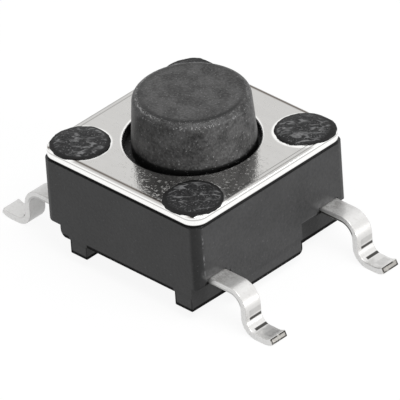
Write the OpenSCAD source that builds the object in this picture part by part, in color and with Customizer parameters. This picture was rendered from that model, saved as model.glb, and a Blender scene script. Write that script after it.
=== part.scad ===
// Surface-mount tactile push button switch, 6 mm square, with four gull-wing terminals.
// Origin: centre of the housing in plan, on the plane of the terminal soles. +Z is the press axis, and
// +X looks out of one of the two faces that carry terminals.

/* [Housing] */
// Side of the square housing
housing_side = 6; // [5.8:0.05:6.4]
// Radius of the four upright corners of the housing
housing_corner_r = 0.3; // [0.1:0.05:0.4]
// Height of the housing's top face, where the cover plate lies
housing_top_z = 3.2; // [3.0:0.05:3.6]
// Height of the flat underside between the ribs
underside_z = 0.72; // [0.6:0.02:0.8]
// Height of the lowest level, shared by ribs and bosses
standoff_z = 0.3; // [0.2:0.02:0.4]
// Height of the shadow gap under the cover plate's edge
gap_h = 0.08; // [0.04:0.02:0.12]
// Depth of the shadow gap
gap_d = 0.06; // [0.04:0.02:0.12]

/* [Terminal recesses] */
// Height of the recess ceiling, just under the terminals
recess_ceiling_z = 1.1; // [1.0:0.02:1.14]
// Depth of the recesses under the +X terminals
recess_depth_right = 0.35; // [0.25:0.05:0.45]
// Depth of the recesses under the -X terminals
recess_depth_left = 0.58; // [0.5:0.02:0.7]
// Radius of the rounded lip over each recess
recess_lip_r = 0.22; // [0.1:0.02:0.3]
// Radius of the rounded foot of the -X recess walls, up to the ledge beside the rib
recess_foot_r = 0.25; // [0.1:0.05:0.3]

/* [Ribs and bosses] */
// Width of the rib along the +X recesses, inward from the recess wall
rib_right_w = 0.67; // [0.5:0.01:0.9]
// Width of the rib near the -X recesses
rib_left_w = 0.64; // [0.5:0.01:0.9]
// Ledge between the -X recess wall and its rib
rib_left_ledge = 0.34; // [0.2:0.02:0.5]
// Reach of each face's boss from the centre line, on its short side
boss_short = 1.1; // [0.9:0.1:1.3]
// Reach of each face's boss on its long side, where it runs on behind a terminal
boss_long = 1.75; // [1.4:0.05:1.9]
// Radius of the boss's lower corners
boss_corner_r = 0.18; // [0.1:0.02:0.3]

/* [Contact chamber] */
// Wall between the round chamber and the housing's faces, where it is thinnest
chamber_wall = 0.8; // [0.7:0.05:0.9]

/* [Staked posts] */
// Distance of each post's centre from the two nearest faces of the housing
post_inset = 0.8; // [0.75:0.05:0.85]
// Diameter of the posts that pass through the cover plate
post_d = 1.1; // [0.9:0.05:1.2]
// Diameter of the flattened heads on the cover plate
head_d = 1.66; // [1.4:0.02:1.7]
// Height of the flattened heads
head_h = 0.1; // [0.06:0.01:0.14]
// Height of the head's rim
head_rim_h = 0.03; // [0.01:0.01:0.05]
// Depth of the posts' roots in the housing
post_root = 0.5; // [0.3:0.1:1.0]

/* [Cover plate] */
// Thickness of the cover plate
plate_t = 0.3; // [0.2:0.05:0.4]
// Radius of the plate's corners
plate_corner_r = 0.45; // [0.3:0.05:0.6]
// Radius of the plate's rolled upper edge
plate_edge_r = 0.08; // [0.04:0.02:0.16]
// Clearance between post and plate hole, on the radius
post_clearance = 0.03; // [0.02:0.01:0.06]

/* [Plunger] */
// Clearance between the plunger's flange and the chamber wall, on the radius
flange_clearance = 0.08; // [0.04:0.02:0.12]
// Overlap of the flange under the rim of the plate's centre hole
flange_lap = 0.19; // [0.15:0.01:0.3]
// Clearance between the stem and the plate's centre hole, on the radius
stem_clearance = 0.16; // [0.05:0.01:0.2]
// Height of the stem's top above the cover plate
stem_rise = 1.45; // [0.8:0.05:4.0]
// Draft angle of the stem, on each side
stem_draft = 4; // [0:0.5:6]
// Radius of the stem's rounded top edge
stem_edge_r = 0.2; // [0.1:0.02:0.4]
// Thickness of the flange that holds the plunger under the plate
flange_t = 0.6; // [0.4:0.05:0.7]
// Diameter of the nub that presses the dome
nub_d = 1.5; // [1.0:0.1:2.0]
// Play between flange and plate, and between nub and dome
plunger_play = 0.02; // [0.01:0.01:0.04]

/* [Snap dome] */
// Clearance between the dome's rim and the chamber wall, on the radius
dome_clearance = 0.2; // [0.1:0.05:0.3]
// Rise of the dome's underside above its rim
dome_rise = 0.36; // [0.3:0.02:0.4]
// Thickness of the dome's sheet
dome_t = 0.06; // [0.05:0.01:0.08]

/* [Terminals] */
// Distance of each terminal's centre from the nearer side of the housing
terminal_inset = 0.75; // [0.7:0.01:0.85]
// Width of each terminal
terminal_w = 0.63; // [0.5:0.01:0.7]
// Thickness of the lead frame sheet
sheet_t = 0.2; // [0.15:0.01:0.22]
// Height of the sheet's underside where it leaves the housing
exit_z = 1.18; // [1.18:0.02:1.4]
// Straight run from the housing face to the first bend
exit_run = 0.7; // [0.5:0.05:1.0]
// Radius of the downward bend, on the sheet's centre line
shoulder_r = 0.5; // [0.3:0.02:0.5]
// Radius of the outward bend, on the sheet's centre line
heel_r = 0.42; // [0.3:0.02:0.45]
// Length of the flat sole that is soldered
sole_len = 0.3; // [0.2:0.05:1.0]
// Radius of the toe's upward bend, on the sheet's centre line
toe_r = 0.5; // [0.3:0.05:0.7]
// Angle of the upturned toe
toe_angle = 25; // [5:1:40]
// Straight length of the toe's tip
toe_len = 0.1; // [0.05:0.01:0.3]

/* [Contacts] */
// Width of the two arms under the dome's rim
arm_w = 0.5; // [0.3:0.05:0.6]
// Distance of each arm's centre inward from the dome's rim
arm_inset = 0.15; // [0.1:0.05:0.25]
// How far the arms run past the centre line
arm_overrun = 0.5; // [0.2:0.1:1.0]
// Width of the tongue that carries the centre contact
tongue_w = 0.7; // [0.5:0.05:1.0]
// Diameter of the centre contact pad
pad_d = 1.2; // [1.0:0.05:1.4]
// Diameter of the raised dimple on the pad
dimple_d = 0.6; // [0.4:0.05:0.8]
// Diameter of the dimple's flat top
dimple_top_d = 0.3; // [0.2:0.05:0.35]
// Height of the dimple
dimple_h = 0.08; // [0.04:0.01:0.1]

/* [Hidden] */

ROUND_FN = 96;
SMALL_FN = 48;
BEND_STEPS = 10;
EDGE_STEPS = 6;
CUT_OVER = 1;

half_side = housing_side / 2;
chamber_d = housing_side - 2 * chamber_wall;
post_offset = half_side - post_inset;
flange_d = chamber_d - 2 * flange_clearance;
plate_hole_d = flange_d - 2 * flange_lap;
stem_d = plate_hole_d - 2 * stem_clearance;
dome_d = chamber_d - 2 * dome_clearance;
arm_offset = dome_d / 2 - arm_inset;
plate_top_z = housing_top_z + plate_t;
stem_top_z = plate_top_z + stem_rise;
sheet_top_z = exit_z + sheet_t;
strip_y = half_side - terminal_inset;
wall_right_x = half_side - recess_depth_right;
wall_left_x = half_side - recess_depth_left;
flange_top_z = housing_top_z - plunger_play;
dome_apex_z = sheet_top_z + dome_rise + dome_t;
nub_bottom_z = dome_apex_z + plunger_play;

// Points of an arc about (cx, cy), from angle a0 to a1
function arc_points(cx, cy, r, a0, a1, steps) =
    [for (i = [0 : steps]) let (a = a0 + (a1 - a0) * i / steps) [cx + r * cos(a), cy + r * sin(a)]];

// Square of side w about the origin, with corners of radius r
module rounded_square(w, r) {
    square([w, w - 2 * r], center = true);
    square([w - 2 * r, w], center = true);
    for (x = [-1, 1], y = [-1, 1])
        translate([x * (w / 2 - r), y * (w / 2 - r)])
            circle(r, $fn = SMALL_FN);
}

// Places its children at the four corner posts
module at_posts() {
    for (x = [-1, 1], y = [-1, 1])
        translate([x * post_offset, y * post_offset, 0])
            children();
}

// Extrudes an outline drawn in X and Z along Y, from y0 to y1
module along_y(y0, y1) {
    translate([0, y1, 0])
        rotate([90, 0, 0])
            linear_extrude(y1 - y0)
                children();
}

// Outline of a recess under the terminals of one face, cut depth deep, its wall rounded below by foot_r
module recess_outline(depth, foot_r) {
    wall_x = half_side - depth;
    foot_x = wall_x - foot_r;
    polygon(concat(
        [[half_side + CUT_OVER, -CUT_OVER], [foot_x, -CUT_OVER]],
        foot_r > 0 ? arc_points(foot_x, underside_z + foot_r, foot_r, -90, 0, EDGE_STEPS) : [],
        [[wall_x, recess_ceiling_z]],
        arc_points(half_side - recess_lip_r, recess_ceiling_z + recess_lip_r,
                   recess_lip_r, -90, 0, EDGE_STEPS),
        [[half_side + CUT_OVER, recess_ceiling_z + recess_lip_r]]));
}

// Recesses of the +X face, at both sides of its boss
module recess_pair(depth, foot_r) {
    along_y(boss_short, half_side + CUT_OVER)
        recess_outline(depth, foot_r);
    along_y(-half_side - CUT_OVER, -boss_long)
        recess_outline(depth, foot_r);
}

// Boss under the +X face, with rounded lower corners, from x0 out to the face
module face_boss(x0) {
    boss_h = exit_z - standoff_z;
    translate([x0, 0, standoff_z])
        rotate([90, 0, 90])
            linear_extrude(half_side - x0)
                polygon(concat(
                    arc_points(boss_corner_r - boss_long, boss_corner_r, boss_corner_r, 180, 270, EDGE_STEPS),
                    arc_points(boss_short - boss_corner_r, boss_corner_r, boss_corner_r, 270, 360, EDGE_STEPS),
                    [[boss_short, boss_h], [-boss_long, boss_h]]));
}

// Rib from x0, w wide, along the whole underside
module rib(x0, w) {
    translate([x0, -half_side, standoff_z])
        cube([w, housing_side, exit_z - standoff_z]);
}

// Block of the housing with its stepped underside
module housing_block() {
    intersection() {
        union() {
            translate([-half_side, -half_side, underside_z])
                cube([housing_side, housing_side, housing_top_z - underside_z]);
            rib(wall_right_x - rib_right_w, rib_right_w);
            rib(-wall_left_x + rib_left_ledge, rib_left_w);
            face_boss(wall_right_x - rib_right_w);
            rotate([0, 0, 180])
                face_boss(wall_left_x - rib_left_ledge - rib_left_w);
        }
        union() {
            linear_extrude(housing_top_z - gap_h)
                rounded_square(housing_side, housing_corner_r);
            linear_extrude(housing_top_z)
                rounded_square(housing_side - 2 * gap_d, housing_corner_r);
        }
    }
}

// Post through the plate with its flattened head, a shallow dome over an upright rim
module staked_post() {
    dome_h = head_h - head_rim_h;
    translate([0, 0, housing_top_z])
        rotate_extrude($fn = SMALL_FN)
            polygon(concat(
                [[0, -post_root], [post_d / 2, -post_root], [post_d / 2, plate_t], [head_d / 2, plate_t]],
                [for (i = [0 : EDGE_STEPS]) let (t = 1 - i / EDGE_STEPS)
                    [head_d / 2 * t, plate_t + head_rim_h + dome_h * (1 - t * t)]]));
}

// Moulded housing: chamber, recesses, ribs, bosses and four staked posts in one piece
module base() {
    color("#3d3e40")
        union() {
            difference() {
                housing_block();
                recess_pair(recess_depth_right, 0);
                rotate([0, 0, 180])
                    recess_pair(recess_depth_left, min(recess_foot_r, rib_left_ledge));
                translate([0, 0, sheet_top_z])
                    cylinder(h = housing_top_z, d = chamber_d, $fn = ROUND_FN);
                in_sheet() {
                    common_plan(CUT_OVER);
                    switched_plan(CUT_OVER);
                }
            }
            at_posts()
                staked_post();
        }
}

// Side view of the plate: square below, rolled over along its upper edges
module plate_section() {
    edge_x = half_side - plate_edge_r;
    edge_z = plate_t - plate_edge_r;
    polygon(concat(
        [[-half_side, 0], [half_side, 0]],
        arc_points(edge_x, edge_z, plate_edge_r, 0, 90, EDGE_STEPS),
        arc_points(-edge_x, edge_z, plate_edge_r, 90, 180, EDGE_STEPS)));
}

// Blank of the plate, with its corners rounded and its upper edges rolled
module plate_blank() {
    intersection() {
        linear_extrude(plate_t)
            rounded_square(housing_side, plate_corner_r);
        along_y(-half_side, half_side)
            plate_section();
        rotate([0, 0, 90])
            along_y(-half_side, half_side)
                plate_section();
    }
}

// Stainless plate that the posts hold down
module cover_plate() {
    color("#d9d8d4")
        translate([0, 0, housing_top_z])
            difference() {
                plate_blank();
                translate([0, 0, -CUT_OVER])
                    cylinder(h = plate_t + 2 * CUT_OVER, d = plate_hole_d, $fn = ROUND_FN);
                at_posts()
                    translate([0, 0, -CUT_OVER])
                        cylinder(h = plate_t + 2 * CUT_OVER, d = post_d + 2 * post_clearance, $fn = SMALL_FN);
            }
}

// Push button: nub, retaining flange and drafted stem, turned about the press axis
module plunger() {
    shoulder_z = stem_top_z - stem_edge_r;
    shoulder_r_top = stem_d / 2 - (shoulder_z - plate_top_z) * tan(stem_draft);
    color("#464749")
        rotate_extrude($fn = ROUND_FN)
            polygon(concat(
                [[0, nub_bottom_z], [nub_d / 2, nub_bottom_z], [nub_d / 2, flange_top_z - flange_t],
                 [flange_d / 2, flange_top_z - flange_t], [flange_d / 2, flange_top_z],
                 [stem_d / 2, flange_top_z], [stem_d / 2, plate_top_z]],
                arc_points(shoulder_r_top - stem_edge_r, shoulder_z, stem_edge_r, 0, 90, BEND_STEPS),
                [[0, stem_top_z]]));
}

// Domed contact disc that stands on the lead frame's arms
module snap_dome() {
    dome_r = (dome_d * dome_d / 4 + dome_rise * dome_rise) / (2 * dome_rise);
    half_angle = asin(dome_d / 2 / dome_r);
    centre_z = sheet_top_z + dome_rise - dome_r;
    color("#c9c6bd")
        rotate_extrude($fn = ROUND_FN)
            polygon(concat(
                arc_points(0, centre_z, dome_r, 90 - half_angle, 90, BEND_STEPS),
                arc_points(0, centre_z, dome_r + dome_t, 90, 90 - half_angle, BEND_STEPS)));
}

// Puts outlines in the plane of the lead frame sheet
module in_sheet() {
    translate([0, 0, exit_z])
        linear_extrude(sheet_t)
            children();
}

// Strip between two opposite terminals, over mm longer than the housing at each end
module strip_plan(y, over) {
    translate([-half_side - over, y - terminal_w / 2])
        square([housing_side + 2 * over, terminal_w]);
}

// Strip with two arms that carry the dome's rim
module common_plan(over) {
    strip_plan(-strip_y, over);
    for (x = [-1, 1])
        translate([x * arm_offset - arm_w / 2, -strip_y])
            square([arm_w, strip_y + arm_overrun]);
}

// Strip with the tongue and pad of the centre contact
module switched_plan(over) {
    strip_plan(strip_y, over);
    translate([-tongue_w / 2, 0])
        square([tongue_w, strip_y]);
    circle(d = pad_d, $fn = SMALL_FN);
}

// Side outline of a formed terminal, from inside the housing face to the tip of the toe
module terminal_outline() {
    mid_z = exit_z + sheet_t / 2;
    shoulder_x = half_side + exit_run;
    shoulder_z = mid_z - shoulder_r;
    heel_x = shoulder_x + shoulder_r + heel_r;
    heel_z = sheet_t / 2 + heel_r;
    toe_x = heel_x + sole_len;
    toe_z = sheet_t / 2 + toe_r;
    run = [toe_len * cos(toe_angle), toe_len * sin(toe_angle)];
    top_toe = arc_points(toe_x, toe_z, toe_r - sheet_t / 2, 270, 270 + toe_angle, EDGE_STEPS);
    low_toe = arc_points(toe_x, toe_z, toe_r + sheet_t / 2, 270 + toe_angle, 270, EDGE_STEPS);
    polygon(concat(
        [[half_side - sheet_t, sheet_top_z]],
        arc_points(shoulder_x, shoulder_z, shoulder_r + sheet_t / 2, 90, 0, BEND_STEPS),
        arc_points(heel_x, heel_z, heel_r - sheet_t / 2, 180, 270, BEND_STEPS),
        top_toe,
        [top_toe[EDGE_STEPS] + run, low_toe[0] + run],
        low_toe,
        arc_points(heel_x, heel_z, heel_r + sheet_t / 2, 270, 180, BEND_STEPS),
        arc_points(shoulder_x, shoulder_z, shoulder_r - sheet_t / 2, 0, 90, BEND_STEPS),
        [[half_side - sheet_t, exit_z]]));
}

// The two formed terminals at the ends of one strip
module terminal_pair(y) {
    for (x = [0, 1])
        mirror([x, 0, 0])
            along_y(y - terminal_w / 2, y + terminal_w / 2)
                terminal_outline();
}

// Lead frame that feeds the dome: two terminals, the strip and two arms
module common_leadframe() {
    color("#d6d3cc")
        union() {
            in_sheet()
                common_plan(0);
            terminal_pair(-strip_y);
        }
}

// Lead frame that the dome snaps onto: two terminals, the strip, the tongue, its pad and dimple
module switched_leadframe() {
    color("#cbb98f")
        union() {
            in_sheet()
                switched_plan(0);
            terminal_pair(strip_y);
            translate([0, 0, exit_z])
                rotate_extrude($fn = SMALL_FN)
                    polygon([[0, 0], [dimple_d / 2, 0], [dimple_d / 2, sheet_t],
                             [dimple_top_d / 2, sheet_t + dimple_h], [0, sheet_t + dimple_h]]);
        }
}

base();
cover_plate();
plunger();
snap_dome();
common_leadframe();
switched_leadframe();
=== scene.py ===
"""Looks of a surface-mount tactile push button switch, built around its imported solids."""

import logging
import math
from collections.abc import Callable, Iterator
from contextlib import contextmanager
from dataclasses import dataclass, field
from enum import Enum

import bmesh
import bpy
from mathutils import Matrix, Vector, noise


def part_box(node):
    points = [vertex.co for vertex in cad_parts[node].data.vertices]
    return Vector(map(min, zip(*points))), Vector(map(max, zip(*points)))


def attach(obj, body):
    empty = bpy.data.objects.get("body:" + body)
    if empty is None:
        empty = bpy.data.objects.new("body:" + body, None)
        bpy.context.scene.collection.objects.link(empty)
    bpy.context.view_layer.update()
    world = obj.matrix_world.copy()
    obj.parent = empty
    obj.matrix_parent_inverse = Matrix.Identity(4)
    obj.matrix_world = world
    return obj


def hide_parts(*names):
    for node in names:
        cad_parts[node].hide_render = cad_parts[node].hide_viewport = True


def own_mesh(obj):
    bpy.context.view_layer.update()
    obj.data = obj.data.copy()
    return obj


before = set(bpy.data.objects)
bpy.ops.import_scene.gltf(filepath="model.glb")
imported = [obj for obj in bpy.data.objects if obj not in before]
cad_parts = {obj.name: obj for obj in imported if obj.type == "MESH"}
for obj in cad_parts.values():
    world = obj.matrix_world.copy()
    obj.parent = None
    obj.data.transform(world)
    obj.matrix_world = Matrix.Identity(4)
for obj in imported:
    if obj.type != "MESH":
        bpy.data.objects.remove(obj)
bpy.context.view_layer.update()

LOG = logging.getLogger("switch")
Number = float | int
Pair = tuple[float, float]
Triple = tuple[float, float, float]

MM = 0.001
WHITE = (1.0, 1.0, 1.0)

# Sizes that pieces and their finishes share, in millimetres
HALF_SIDE = 3.0
UNDERSIDE_Z = 0.72
EXIT_Z = 1.18
PLATE_TOP_Z = 3.5
STRIP_Y = 2.25
POST_OFFSET = 2.2
HEAD_RADIUS = 0.82
HOLE_RADIUS = 1.93
TOE_ANGLE = 25.0

# Distance below which points count as one, and turn in radians above which an edge counts as sharp
TOUCH = 0.001
SHARP_TURN = 1.0


class Signal:
    """An output socket of a material's nodes, with arithmetic that adds Math nodes."""

    def __init__(self, recipe: "Recipe", socket: bpy.types.NodeSocket) -> None:
        """Wraps a socket of a recipe's nodes."""
        self.recipe = recipe
        self.socket = socket

    def _math(self, operation: str, *terms: "Signal | Number") -> "Signal":
        """Adds one Math node, with its inputs in order."""
        return self.recipe.node("ShaderNodeMath", {"operation": operation}, dict(enumerate(terms)))

    def __add__(self, other: "Signal | Number") -> "Signal":
        """Sum."""
        return self._math("ADD", self, other)

    def __radd__(self, other: Number) -> "Signal":
        """Sum with a number on the left."""
        return self._math("ADD", other, self)

    def __sub__(self, other: "Signal | Number") -> "Signal":
        """Difference."""
        return self._math("SUBTRACT", self, other)

    def __rsub__(self, other: Number) -> "Signal":
        """Difference with a number on the left."""
        return self._math("SUBTRACT", other, self)

    def __mul__(self, other: "Signal | Number") -> "Signal":
        """Product."""
        return self._math("MULTIPLY", self, other)

    def __rmul__(self, other: Number) -> "Signal":
        """Product with a number on the left."""
        return self._math("MULTIPLY", other, self)

    def __pow__(self, other: Number) -> "Signal":
        """Power."""
        return self._math("POWER", self, other)

    def __abs__(self) -> "Signal":
        """Size without sign."""
        return self._math("ABSOLUTE", self)

    def most(self, other: "Signal | Number") -> "Signal":
        """The larger of two values."""
        return self._math("MAXIMUM", self, other)

    def least(self, other: "Signal | Number") -> "Signal":
        """The smaller of two values."""
        return self._math("MINIMUM", self, other)

    def hypot(self, other: "Signal") -> "Signal":
        """Length of the vector that has these two coordinates."""
        return (self * self + other * other) ** 0.5

    def step(self, start: Number, end: Number) -> "Signal":
        """Smooth step from 0 to 1, upward or downward.

        Args:
            start: Value at which the step gives 0.
            end: Value at which it gives 1, above the start or below it.

        Returns:
            The stepped value.
        """
        settings = {"interpolation_type": "SMOOTHSTEP"}
        low, high, at_low, at_high = (start, end, 0.0, 1.0) if start < end else (end, start, 1.0, 0.0)
        sockets = {"Value": self, "From Min": low, "From Max": high, "To Min": at_low, "To Max": at_high}
        return self.recipe.node("ShaderNodeMapRange", settings, sockets)

    def within(self, low: Number, high: Number, soft: Number = 0.02) -> "Signal":
        """1 between two values and 0 outside them, with soft ends."""
        return self.step(low - soft, low) * self.step(high + soft, high)

    def band(self, centre: Number, half_width: Number) -> "Signal":
        """Soft band: 1 at a value, 0 past half a width on either side."""
        return abs(self - centre).step(half_width, 0.0)

    def sign(self) -> "Signal":
        """-1 below zero and 1 above it."""
        return self.step(-2 * TOUCH, 2 * TOUCH) * 2 - 1


class Recipe:
    """A node graph under construction, for a material or the world."""

    def __init__(self, tree: bpy.types.NodeTree) -> None:
        """Starts from an empty tree."""
        tree.nodes.clear()
        self.tree = tree

    def node(self, kind: str, settings: dict | None = None, sockets: dict | None = None,
             output: str | int = 0) -> Signal:
        """Adds any node.

        Args:
            kind: The node's type.
            settings: Its properties, set first.
            sockets: Values or signals for its inputs, by name or number.
            output: Which output to give back, by name or number.

        Returns:
            The chosen output.
        """
        made = self.tree.nodes.new(kind)
        for key, value in (settings or {}).items():
            setattr(made, key, value)
        for key, value in (sockets or {}).items():
            if isinstance(value, Signal):
                self.tree.links.new(value.socket, made.inputs[key])
            else:
                made.inputs[key].default_value = value
        return Signal(self, made.outputs[output] if len(made.outputs) else None)

    def spot(self) -> Signal:
        """Place on the piece as a vector, in millimetres."""
        raw = self.node("ShaderNodeTexCoord", None, None, "Object")
        return self.node("ShaderNodeVectorMath", {"operation": "SCALE"}, {0: raw, "Scale": 1 / MM})

    def turned_spot(self, angle: float) -> Signal:
        """Place on the piece in millimetres, turned about the Z axis by an angle in degrees."""
        sockets = {"Vector": self.spot(), "Angle": math.radians(angle)}
        return self.node("ShaderNodeVectorRotate", {"rotation_type": "Z_AXIS"}, sockets)

    def _axes(self, vector: Signal) -> list[Signal]:
        """Splits a vector into its parts along X, Y and Z."""
        return [self.node("ShaderNodeSeparateXYZ", None, {0: vector}, key) for key in "XYZ"]

    def place(self) -> list[Signal]:
        """Place on the piece along X, Y and Z, in millimetres."""
        return self._axes(self.spot())

    def facing(self) -> list[Signal]:
        """How far the surface faces along X, Y and Z, from -1 to 1."""
        return self._axes(self.node("ShaderNodeTexCoord", None, None, "Normal"))

    def grain(self, size: float, detail: float = 2.0, stretch: Triple = (1, 1, 1),
              harshness: float = 0.5, drift: float = 0.0, spot: Signal | None = None) -> Signal:
        """Cloudy noise between 0 and 1.

        Args:
            size: Size of one cloud, in millimetres.
            detail: Octaves of finer noise.
            stretch: Frequency along each axis, as a share.
            harshness: Weight of the finer octaves.
            drift: Offset that makes one noise differ from another.
            spot: Place to sample at; the plain place on the piece where left out.

        Returns:
            The noise.
        """
        scaled = self.node("ShaderNodeVectorMath", {"operation": "MULTIPLY_ADD"},
                           {0: spot or self.spot(), 1: stretch, 2: (drift, drift, drift)})
        sockets = {"Vector": scaled, "Scale": 1 / size, "Detail": detail, "Roughness": harshness}
        return self.node("ShaderNodeTexNoise", None, sockets, 0)

    def specks(self, size: float, start: float, end: float, drift: float) -> Signal:
        """Scattered specks or patches.

        Args:
            size: Size of the noise that scatters them, in millimetres.
            start: Noise at which a speck starts.
            end: Noise at which it is full.
            drift: Offset that makes one scatter differ from another.

        Returns:
            1 on the specks, 0 between them.
        """
        return self.grain(size, 1.0, drift=drift).step(start, end)

    def blend(self, mask: Signal, first: Triple | Signal, second: Triple | Signal) -> Signal:
        """Mixes two colours.

        Args:
            mask: 0 gives the first colour, 1 the second.
            first: Colour where the mask is 0.
            second: Colour where the mask is 1.

        Returns:
            The mixed colour.
        """
        pair = [c if isinstance(c, Signal) else (*c, 1.0) for c in (first, second)]
        return self.node("ShaderNodeMix", {"data_type": "RGBA"}, {0: mask, 6: pair[0], 7: pair[1]}, 2)

    def dress(self, colour: Signal, roughness: Signal, relief: Signal, depth: float,
              metallic: float = 0.0, specular: float = 0.5) -> None:
        """Ends a material with the main shader.

        Args:
            colour: Base colour.
            roughness: Roughness.
            relief: Surface relief between 0 and 1.
            depth: Full depth of the relief, in millimetres.
            metallic: How far the surface is bare metal.
            specular: Strength of the gloss of what isn't metal.
        """
        bump = {"Height": relief, "Distance": depth * MM, "Strength": 1.0}
        normal = self.node("ShaderNodeBump", None, bump)
        self.close(self.node("ShaderNodeBsdfPrincipled", None, {
            "Base Color": colour, "Roughness": roughness, "Normal": normal,
            "Metallic": metallic, "Specular IOR Level": specular}))

    def close(self, shader: Signal, output: str = "ShaderNodeOutputMaterial") -> None:
        """Links a shader to the output."""
        self.node(output, None, {"Surface": shader})

    def seen(self) -> Signal:
        """1 for the camera, for gloss and for glass, 0 for light that spreads."""
        camera, glossy, through = (self.node("ShaderNodeLightPath", None, None, f"Is {kind} Ray")
                                   for kind in ("Camera", "Glossy", "Transmission"))
        return camera.most(glossy).most(through)


def from_terminal(y: Signal) -> Signal:
    """Distance from the middle of the nearer terminal, towards +Y."""
    return y - y.sign() * STRIP_Y


@dataclass(frozen=True)
class Finish:
    """A named finish with a material of its own."""

    name: str

    def material(self) -> bpy.types.Material:
        """The finish's material, made once."""
        made = bpy.data.materials.get(self.name)
        if made is None:
            made = bpy.data.materials.new(self.name)
            made.use_nodes = True
            self.mix(Recipe(made.node_tree))
        return made

    def mix(self, recipe: Recipe) -> None:
        """Fills the graph."""
        raise NotImplementedError


@dataclass(frozen=True)
class HousingResin(Finish):
    """Glass-filled moulding of the housing: even and dull, with painted shade at its edges and a painted sheen
    by the terminals.
    """

    name: str = "housing_resin"
    tone: Triple = (0.031, 0.031, 0.0315)
    pale: Triple = (0.053, 0.053, 0.054)
    painted_shade: Triple = (0.0015, 0.0015, 0.0015)
    speck: Triple = (0.24, 0.24, 0.245)
    painted_reflection: Triple = (0.12, 0.12, 0.12)
    grain_size: float = 0.09
    relief: float = 0.004
    rim_z: Pair = (3.125, 3.155)
    shade_z: Pair = (1.0, 0.9)
    sole_z: float = 0.3
    line: float = 0.15
    side_line: float = 0.06
    margin: float = 0.02
    ribs: tuple[Pair, Pair] = ((1.98, 2.66), (-2.08, -1.44))
    boss_x: Pair = (2.7, 2.8)
    boss_y: Pair = (-1.75, 1.1)
    exit_shadow_y: Pair = (-0.48, -0.3)
    exit_shadow_rise: Pair = (-0.2, 0.1)
    sheen_half: float = 0.25
    sheen_rise: float = 0.1
    sheen_slope: float = 1.04
    glint_corner: Pair = (5.0, 5.5)

    def mix(self, recipe: Recipe) -> None:
        """Fills the graph."""
        x, y, z = recipe.place()
        along, across, up = recipe.facing()
        clouds = recipe.grain(0.9, 3.0)
        fine = recipe.grain(self.grain_size, 3.0, harshness=0.6, drift=4.0)
        colour = recipe.blend(clouds.step(0.35, 0.7) * 0.35 + fine.step(0.3, 0.7) * 0.5, self.tone, self.pale)
        # Painted shade: rounded corners, faces that turn downward, the line under the cover plate, the lower
        # edges and the recess walls take the dark colour
        corner = abs(along).least(abs(across)).step(0.04, 0.4)
        sole = up.step(-0.9, -0.98)
        below = up.step(-0.08, -0.35) * (1 - sole)
        rim = z.step(*self.rim_z)
        hem = self._painted_edge_shade(x, y, z, along, across) * (1 - sole)
        shadow = (below * z.step(*self.shade_z)).most(rim).most(hem)
        rise, inset, local = z - EXIT_Z, abs(x) - HALF_SIDE, from_terminal(y)
        front = along.step(0.5, 0.9)
        # Painted shadow: a dark patch on the +X face beside each terminal's exit, towards -Y
        exit_shadow = local.within(*self.exit_shadow_y, 0.08) * rise.within(*self.exit_shadow_rise, 0.1) * front
        sunk = inset.step(-0.02, -0.12) * rise.step(0.15, -0.1) * abs(along).step(0.5, 0.9)
        dark = (corner * 0.5).most(shadow).most(exit_shadow * 0.95).most(sunk * 0.35)
        colour = recipe.blend(dark, colour, self.painted_shade)
        # Painted reflection: a pale mottled smear on the +X face, rising from each terminal's exit towards -Y
        outer = front * inset.step(-0.06, -0.02) * rise.step(-0.25, -0.05)
        lean = local + (rise - self.sheen_rise) * self.sheen_slope
        sheen = lean.within(-self.sheen_half, self.sheen_half, 0.15) * rise.step(0.65, 0.2) * outer
        mottle = recipe.grain(0.13, 3.0, drift=2.0, harshness=0.65).step(0.25, 0.75)
        colour = recipe.blend(sheen * (0.25 + mottle * 0.75), colour, self.painted_reflection)
        # Painted highlight: pale specks along the rounded corners, strongest at the corner at +X and -Y
        edge_marks = abs(across).band(0.16, 0.15) * (0.12 + (x - y).step(*self.glint_corner) * 0.38)
        corner_glints = recipe.specks(0.13, 0.5, 0.66, 9.0) * edge_marks
        stray = recipe.specks(0.08, 0.7, 0.78, 12.0) * 0.14
        colour = recipe.blend(corner_glints.most(stray) * (1 - below) * (1 - rim), colour, self.speck)
        rough = (0.26 + fine * 0.14).most(dark).most(below)
        recipe.dress(colour, rough, fine, self.relief, specular=0.25)

    def _painted_edge_shade(self, x: Signal, y: Signal, z: Signal, along: Signal, across: Signal) -> Signal:
        """Painted shade: a dark line along the lower edges of the block, of its ribs and of its bosses.

        Args:
            x: Place along X.
            y: Place along Y.
            z: Height.
            along: How far the surface faces along X.
            across: How far it faces along Y.

        Returns:
            1 on the line, 0 elsewhere.
        """
        full, fade = self.line * 0.6, self.line * 0.4
        foot = z.within(0.0, self.sole_z + full, fade)
        hem = z.within(UNDERSIDE_Z - 0.01, UNDERSIDE_Z + full, fade)
        outer, ahead = abs(x).step(*self.boss_x), y * x.sign()
        first, second = (x.within(low - self.margin, high + self.margin) for low, high in self.ribs)
        boss = outer * ahead.within(self.boss_y[0] - self.margin, self.boss_y[1] + self.margin)
        standing = first.most(second).most(boss)
        first, second = (x.within(low, low + self.side_line) for low, _ in self.ribs)
        rib_sides = first.most(second) * abs(across).step(0.6, 0.9)
        boss_sides = ahead.within(self.boss_y[1] - self.side_line, self.boss_y[1]) * outer
        boss_sides = boss_sides * abs(along).step(0.6, 0.9)
        sides = rib_sides.most(boss_sides) * z.step(UNDERSIDE_Z + fade, UNDERSIDE_Z)
        return foot.most(hem * (1 - standing * 0.85)).most(sides)


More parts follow.
